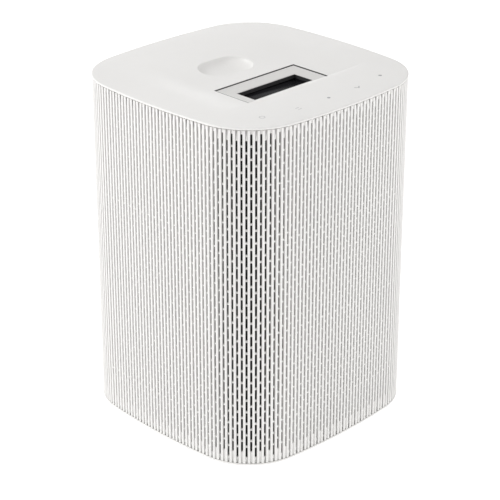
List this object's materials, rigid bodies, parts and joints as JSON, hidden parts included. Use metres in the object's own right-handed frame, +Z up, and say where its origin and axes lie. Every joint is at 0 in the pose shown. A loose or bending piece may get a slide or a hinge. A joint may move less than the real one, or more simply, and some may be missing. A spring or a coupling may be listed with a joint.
{
  "type": "smart speaker",
  "caption": "Free-standing smart speaker: rounded-square slotted grille sleeve, scooped top with a sunken display window, finger dish and touch keys.",
  "frame": {"origin": "centre of the footprint at the underside of the feet", "axes": "+Z up; -Y is the front, the side nearest the touch keys; +X to the right seen from the front"},
  "size_m": [0.18, 0.18, 0.244],
  "materials": {
    "shell_white": "fine satin, warm white",
    "bezel_white": "satin, a shade greyer than the shell",
    "black_cloth": "open acoustic weave",
    "black_plastic": "matt black moulding",
    "lens_glass": "polished black filter",
    "grey_rubber": "soft matt silicone",
    "dark_rubber": "matt rubber",
    "board_green": "solder mask over glass-fibre board",
    "steel": "zinc-plated steel",
    "aluminium": "extruded aluminium",
    "ferrite": null,
    "paper_cone": "black paper pulp",
    "amber_cloth": "resin-dipped cloth",
    "amber_film": "polyimide film",
    "copper": null,
    "brass": "bright contact pins",
    "grey_foam": "open-cell damping foam"
  },
  "bodies": {
    "chassis": {"acoustic_scrim": "black_cloth", "antenna_left": "board_green", "antenna_right": "board_green", "base_plate": "shell_white", "base_screw_1": "steel", "base_screw_2": "steel", "base_screw_3": "steel", "base_screw_4": "steel", "cabinet_gasket": "dark_rubber", "cabinet_lid": "black_plastic", "capacitor_left": "black_plastic", "capacitor_right": "black_plastic", "damping_foam": "grey_foam", "display_bezel": "bezel_white", "display_holder": "black_plastic", "display_lens": "lens_glass", "display_panel": "black_plastic", "display_ribbon": "amber_film", "display_shroud": "black_plastic", "foot_front_left": "grey_rubber", "foot_front_right": "grey_rubber", "foot_rear_left": "grey_rubber", "foot_rear_right": "grey_rubber", "grille_sleeve": "shell_white", "harness_plug_high": "black_plastic", "harness_plug_low": "black_plastic", "heat_sink": "aluminium", "inlet_pin_left": "brass", "inlet_pin_right": "brass", "main_board": "board_green", "mains_inlet": "black_plastic", "microphone_board": "board_green", "power_board": "board_green", "power_transformer": "ferrite", "reflex_port": "black_plastic", "ribbon_socket": "black_plastic", "shield_can": "steel", "sound_deflector": "black_plastic", "speaker_cabinet": "black_plastic", "top_cover": "shell_white", "touch_board": "board_green", "tweeter_left_faceplate": "black_plastic", "tweeter_left_motor": "ferrite", "tweeter_right_faceplate": "black_plastic", "tweeter_right_motor": "ferrite", "upper_frame": "black_plastic", "wireless_module": "steel", "wiring_harness": "dark_rubber", "woofer_back_plate": "steel", "woofer_basket": "steel", "woofer_magnet": "ferrite", "woofer_spider": "amber_cloth", "woofer_surround": "dark_rubber", "woofer_top_plate": "steel"},
    "woofer_moving": {"woofer_cone": "paper_cone", "woofer_dust_cap": "paper_cone", "voice_coil": "copper"},
    "tweeter_left_moving": {"tweeter_left_dome": "amber_cloth"},
    "tweeter_right_moving": {"tweeter_right_dome": "amber_cloth"}
  },
  "joints": [
    {"name": "woofer_travel", "type": "slide", "parent": "chassis", "child": "woofer_moving", "axis": [0, 0, 1], "range_m": [-0.005, 0.005], "stiffness_N_per_m": 900, "deforming": ["woofer_surround", "woofer_spider"]},
    {"name": "tweeter_left_travel", "type": "slide", "parent": "chassis", "child": "tweeter_left_moving", "axis": [0, -1, 0], "range_m": [-0.0004, 0.0004], "stiffness_N_per_m": 400},
    {"name": "tweeter_right_travel", "type": "slide", "parent": "chassis", "child": "tweeter_right_moving", "axis": [0, -1, 0], "range_m": [-0.0004, 0.0004], "stiffness_N_per_m": 400}
  ]
}
